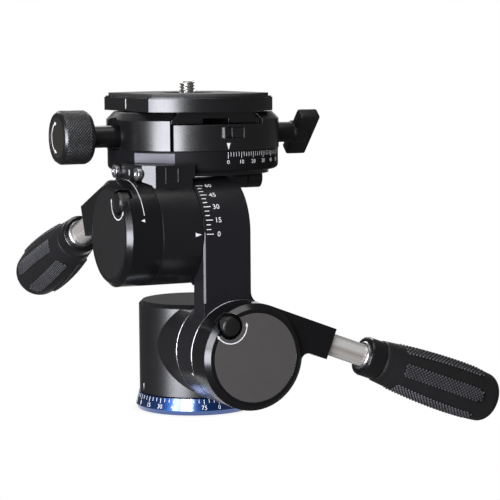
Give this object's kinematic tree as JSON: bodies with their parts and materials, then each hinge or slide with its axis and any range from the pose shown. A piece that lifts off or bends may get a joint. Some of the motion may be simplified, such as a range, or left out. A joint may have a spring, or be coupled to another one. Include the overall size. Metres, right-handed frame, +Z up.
{
  "type": "four-way tripod head",
  "caption": "A compact camera head that pans at its base and under its clamp, tilts two ways on padded lever handles, and carries a dovetail camera plate.",
  "frame": {"origin": "on the lower pan axis, at the mouth of the tripod thread in the underside of the base ring", "axes": "+X to the right, along the upper tilt axis; +Y to the back, along the lower tilt axis; +Z up, along the pan axes"},
  "size_m": [0.1716, 0.152, 0.141],
  "materials": {
    "blue_anodised": "glossy blue anodised",
    "black_anodised": "satin black anodised",
    "black_painted": "semi-gloss black",
    "black_knurled": "black anodised, knurled",
    "face_grey": "matte dark grey",
    "bare_aluminium": "bare, fine grained",
    "steel": "machined",
    "stainless": "polished",
    "insert_brass": "machined",
    "bearing_plastic": "plain bearing plastic",
    "grip_plastic": "satin black moulded",
    "pad_rubber": "textured dark grey"
  },
  "bodies": {
    "base": {"base_ring": "blue_anodised", "pan_spindle": "steel", "thread_insert": "insert_brass", "pan_washer": "bearing_plastic", "pan_nut": "steel"},
    "pillar": {"pillar": "black_anodised", "pillar_cap": "black_anodised", "lower_tilt_shaft": "steel"},
    "pan_lock": {"pan_lock_knob": "black_knurled", "pan_lock_screw": "steel"},
    "arm": {"arm": "black_anodised", "arm_end_cap": "black_anodised", "lower_friction_washer": "bearing_plastic", "upper_tilt_shaft": "steel", "upper_friction_washer": "bearing_plastic"},
    "lower_lever": {"lower_lever_hub": "black_painted", "lower_face_plate": "face_grey", "lower_lock_nut": "steel", "lower_cone_washers": "steel", "lower_rod": "stainless", "lower_ferrule": "black_anodised", "lower_grip": "grip_plastic", "lower_grip_pads": "pad_rubber", "lower_pull_spring": "steel"},
    "lower_pull": {"lower_pull_knob": "black_knurled", "lower_pull_pin": "steel"},
    "tilt_body": {"tilt_body": "black_anodised", "bracket_screws": "stainless", "pan_disc": "black_anodised", "rim_plate": "bare_aluminium", "disc_screws": "steel", "top_spindle": "steel", "top_retainer": "steel"},
    "upper_lever": {"upper_lever_hub": "black_painted", "upper_face_plate": "face_grey", "upper_lock_nut": "steel", "upper_cone_washers": "steel", "upper_rod": "stainless", "upper_ferrule": "black_anodised", "upper_grip": "grip_plastic", "upper_grip_pads": "pad_rubber", "upper_pull_spring": "steel"},
    "upper_pull": {"upper_pull_knob": "black_knurled", "upper_pull_pin": "steel"},
    "drag": {"drag_knob": "black_painted"},
    "clamp": {"clamp_body": "black_anodised", "jaw_guide_pins": "steel", "jaw_springs": "steel", "catch_pin": "stainless"},
    "wing": {"wing_lever": "black_painted", "wing_screw": "steel"},
    "catch": {"safety_catch": "black_painted"},
    "jaw": {"clamp_jaw": "black_anodised"},
    "clamp_knob": {"clamp_knob": "black_knurled", "clamp_screw": "steel", "knob_label": "face_grey"},
    "plate": {"camera_plate": "black_anodised", "plate_pad": "pad_rubber"},
    "camera_screw": {"camera_screw": "steel"}
  },
  "joints": [
    {"name": "base_pan", "type": "hinge", "parent": "base", "child": "pillar", "pos_m": [0, 0, 0.007], "axis": [0, 0, 1], "continuous": true},
    {"name": "pan_lock", "type": "hinge", "parent": "pillar", "child": "pan_lock", "pos_m": [0, 0.028, 0.014], "axis": [0, 1, 0], "range_deg": [0, 270]},
    {"name": "side_tilt", "type": "hinge", "parent": "pillar", "child": "arm", "pos_m": [0, -0.036, 0.0279], "axis": [0, 1, 0], "range_deg": [-30, 90]},
    {"name": "lower_lever", "type": "hinge", "parent": "arm", "child": "lower_lever", "pos_m": [0, -0.051, 0.0279], "axis": [0, 1, 0], "range_deg": [0, 60]},
    {"name": "lower_pull", "type": "slide", "parent": "lower_lever", "child": "lower_pull", "axis": [0, -1, 0], "range_m": [0, 0.0025], "stiffness_N_per_m": 300, "springref_m": -0.003, "deforming": ["lower_pull_spring"]},
    {"name": "tilt", "type": "hinge", "parent": "arm", "child": "tilt_body", "pos_m": [-0.023, -0.0232, 0.07525], "axis": [1, 0, 0], "range_deg": [-35, 90]},
    {"name": "upper_lever", "type": "hinge", "parent": "tilt_body", "child": "upper_lever", "pos_m": [-0.0386, -0.0232, 0.07525], "axis": [-1, 0, 0], "range_deg": [0, 60]},
    {"name": "upper_pull", "type": "slide", "parent": "upper_lever", "child": "upper_pull", "axis": [-1, 0, 0], "range_m": [0, 0.0025], "stiffness_N_per_m": 300, "springref_m": -0.003, "deforming": ["upper_pull_spring"]},
    {"name": "drag", "type": "hinge", "parent": "tilt_body", "child": "drag", "pos_m": [0.02, 0, 0.0938], "axis": [1, 0, 0], "range_deg": [0, 270]},
    {"name": "top_pan", "type": "hinge", "parent": "tilt_body", "child": "clamp", "pos_m": [0, 0, 0.107], "axis": [0, 0, 1], "continuous": true},
    {"name": "wing", "type": "hinge", "parent": "clamp", "child": "wing", "pos_m": [0.048, 0, 0.11215], "axis": [1, 0, 0], "range_deg": [0, 90]},
    {"name": "catch", "type": "slide", "parent": "clamp", "child": "catch", "axis": [-1, 0, 0], "range_m": [0, 0.002], "stiffness_N_per_m": 120, "springref_m": -0.002},
    {"name": "jaw_slide", "type": "slide", "parent": "clamp", "child": "jaw", "axis": [-1, 0, 0], "range_m": [0, 0.005], "deforming": ["jaw_springs"]},
    {"name": "knob_turn", "type": "hinge", "parent": "jaw", "child": "clamp_knob", "pos_m": [-0.052, 0, 0.11215], "axis": [-1, 0, 0], "range_deg": [0, 1800]},
    {"name": "plate_slide", "type": "slide", "parent": "clamp", "child": "plate", "axis": [0, 1, 0], "range_m": [-0.02, 0.02]},
    {"name": "screw_turn", "type": "hinge", "parent": "plate", "child": "camera_screw", "pos_m": [-0.0022, 0, 0.125], "axis": [0, 0, 1], "continuous": true}
  ],
  "couplings": [
    {"joint": "knob_turn", "follows": "jaw_slide", "rad_per_m": 6283.2}
  ]
}
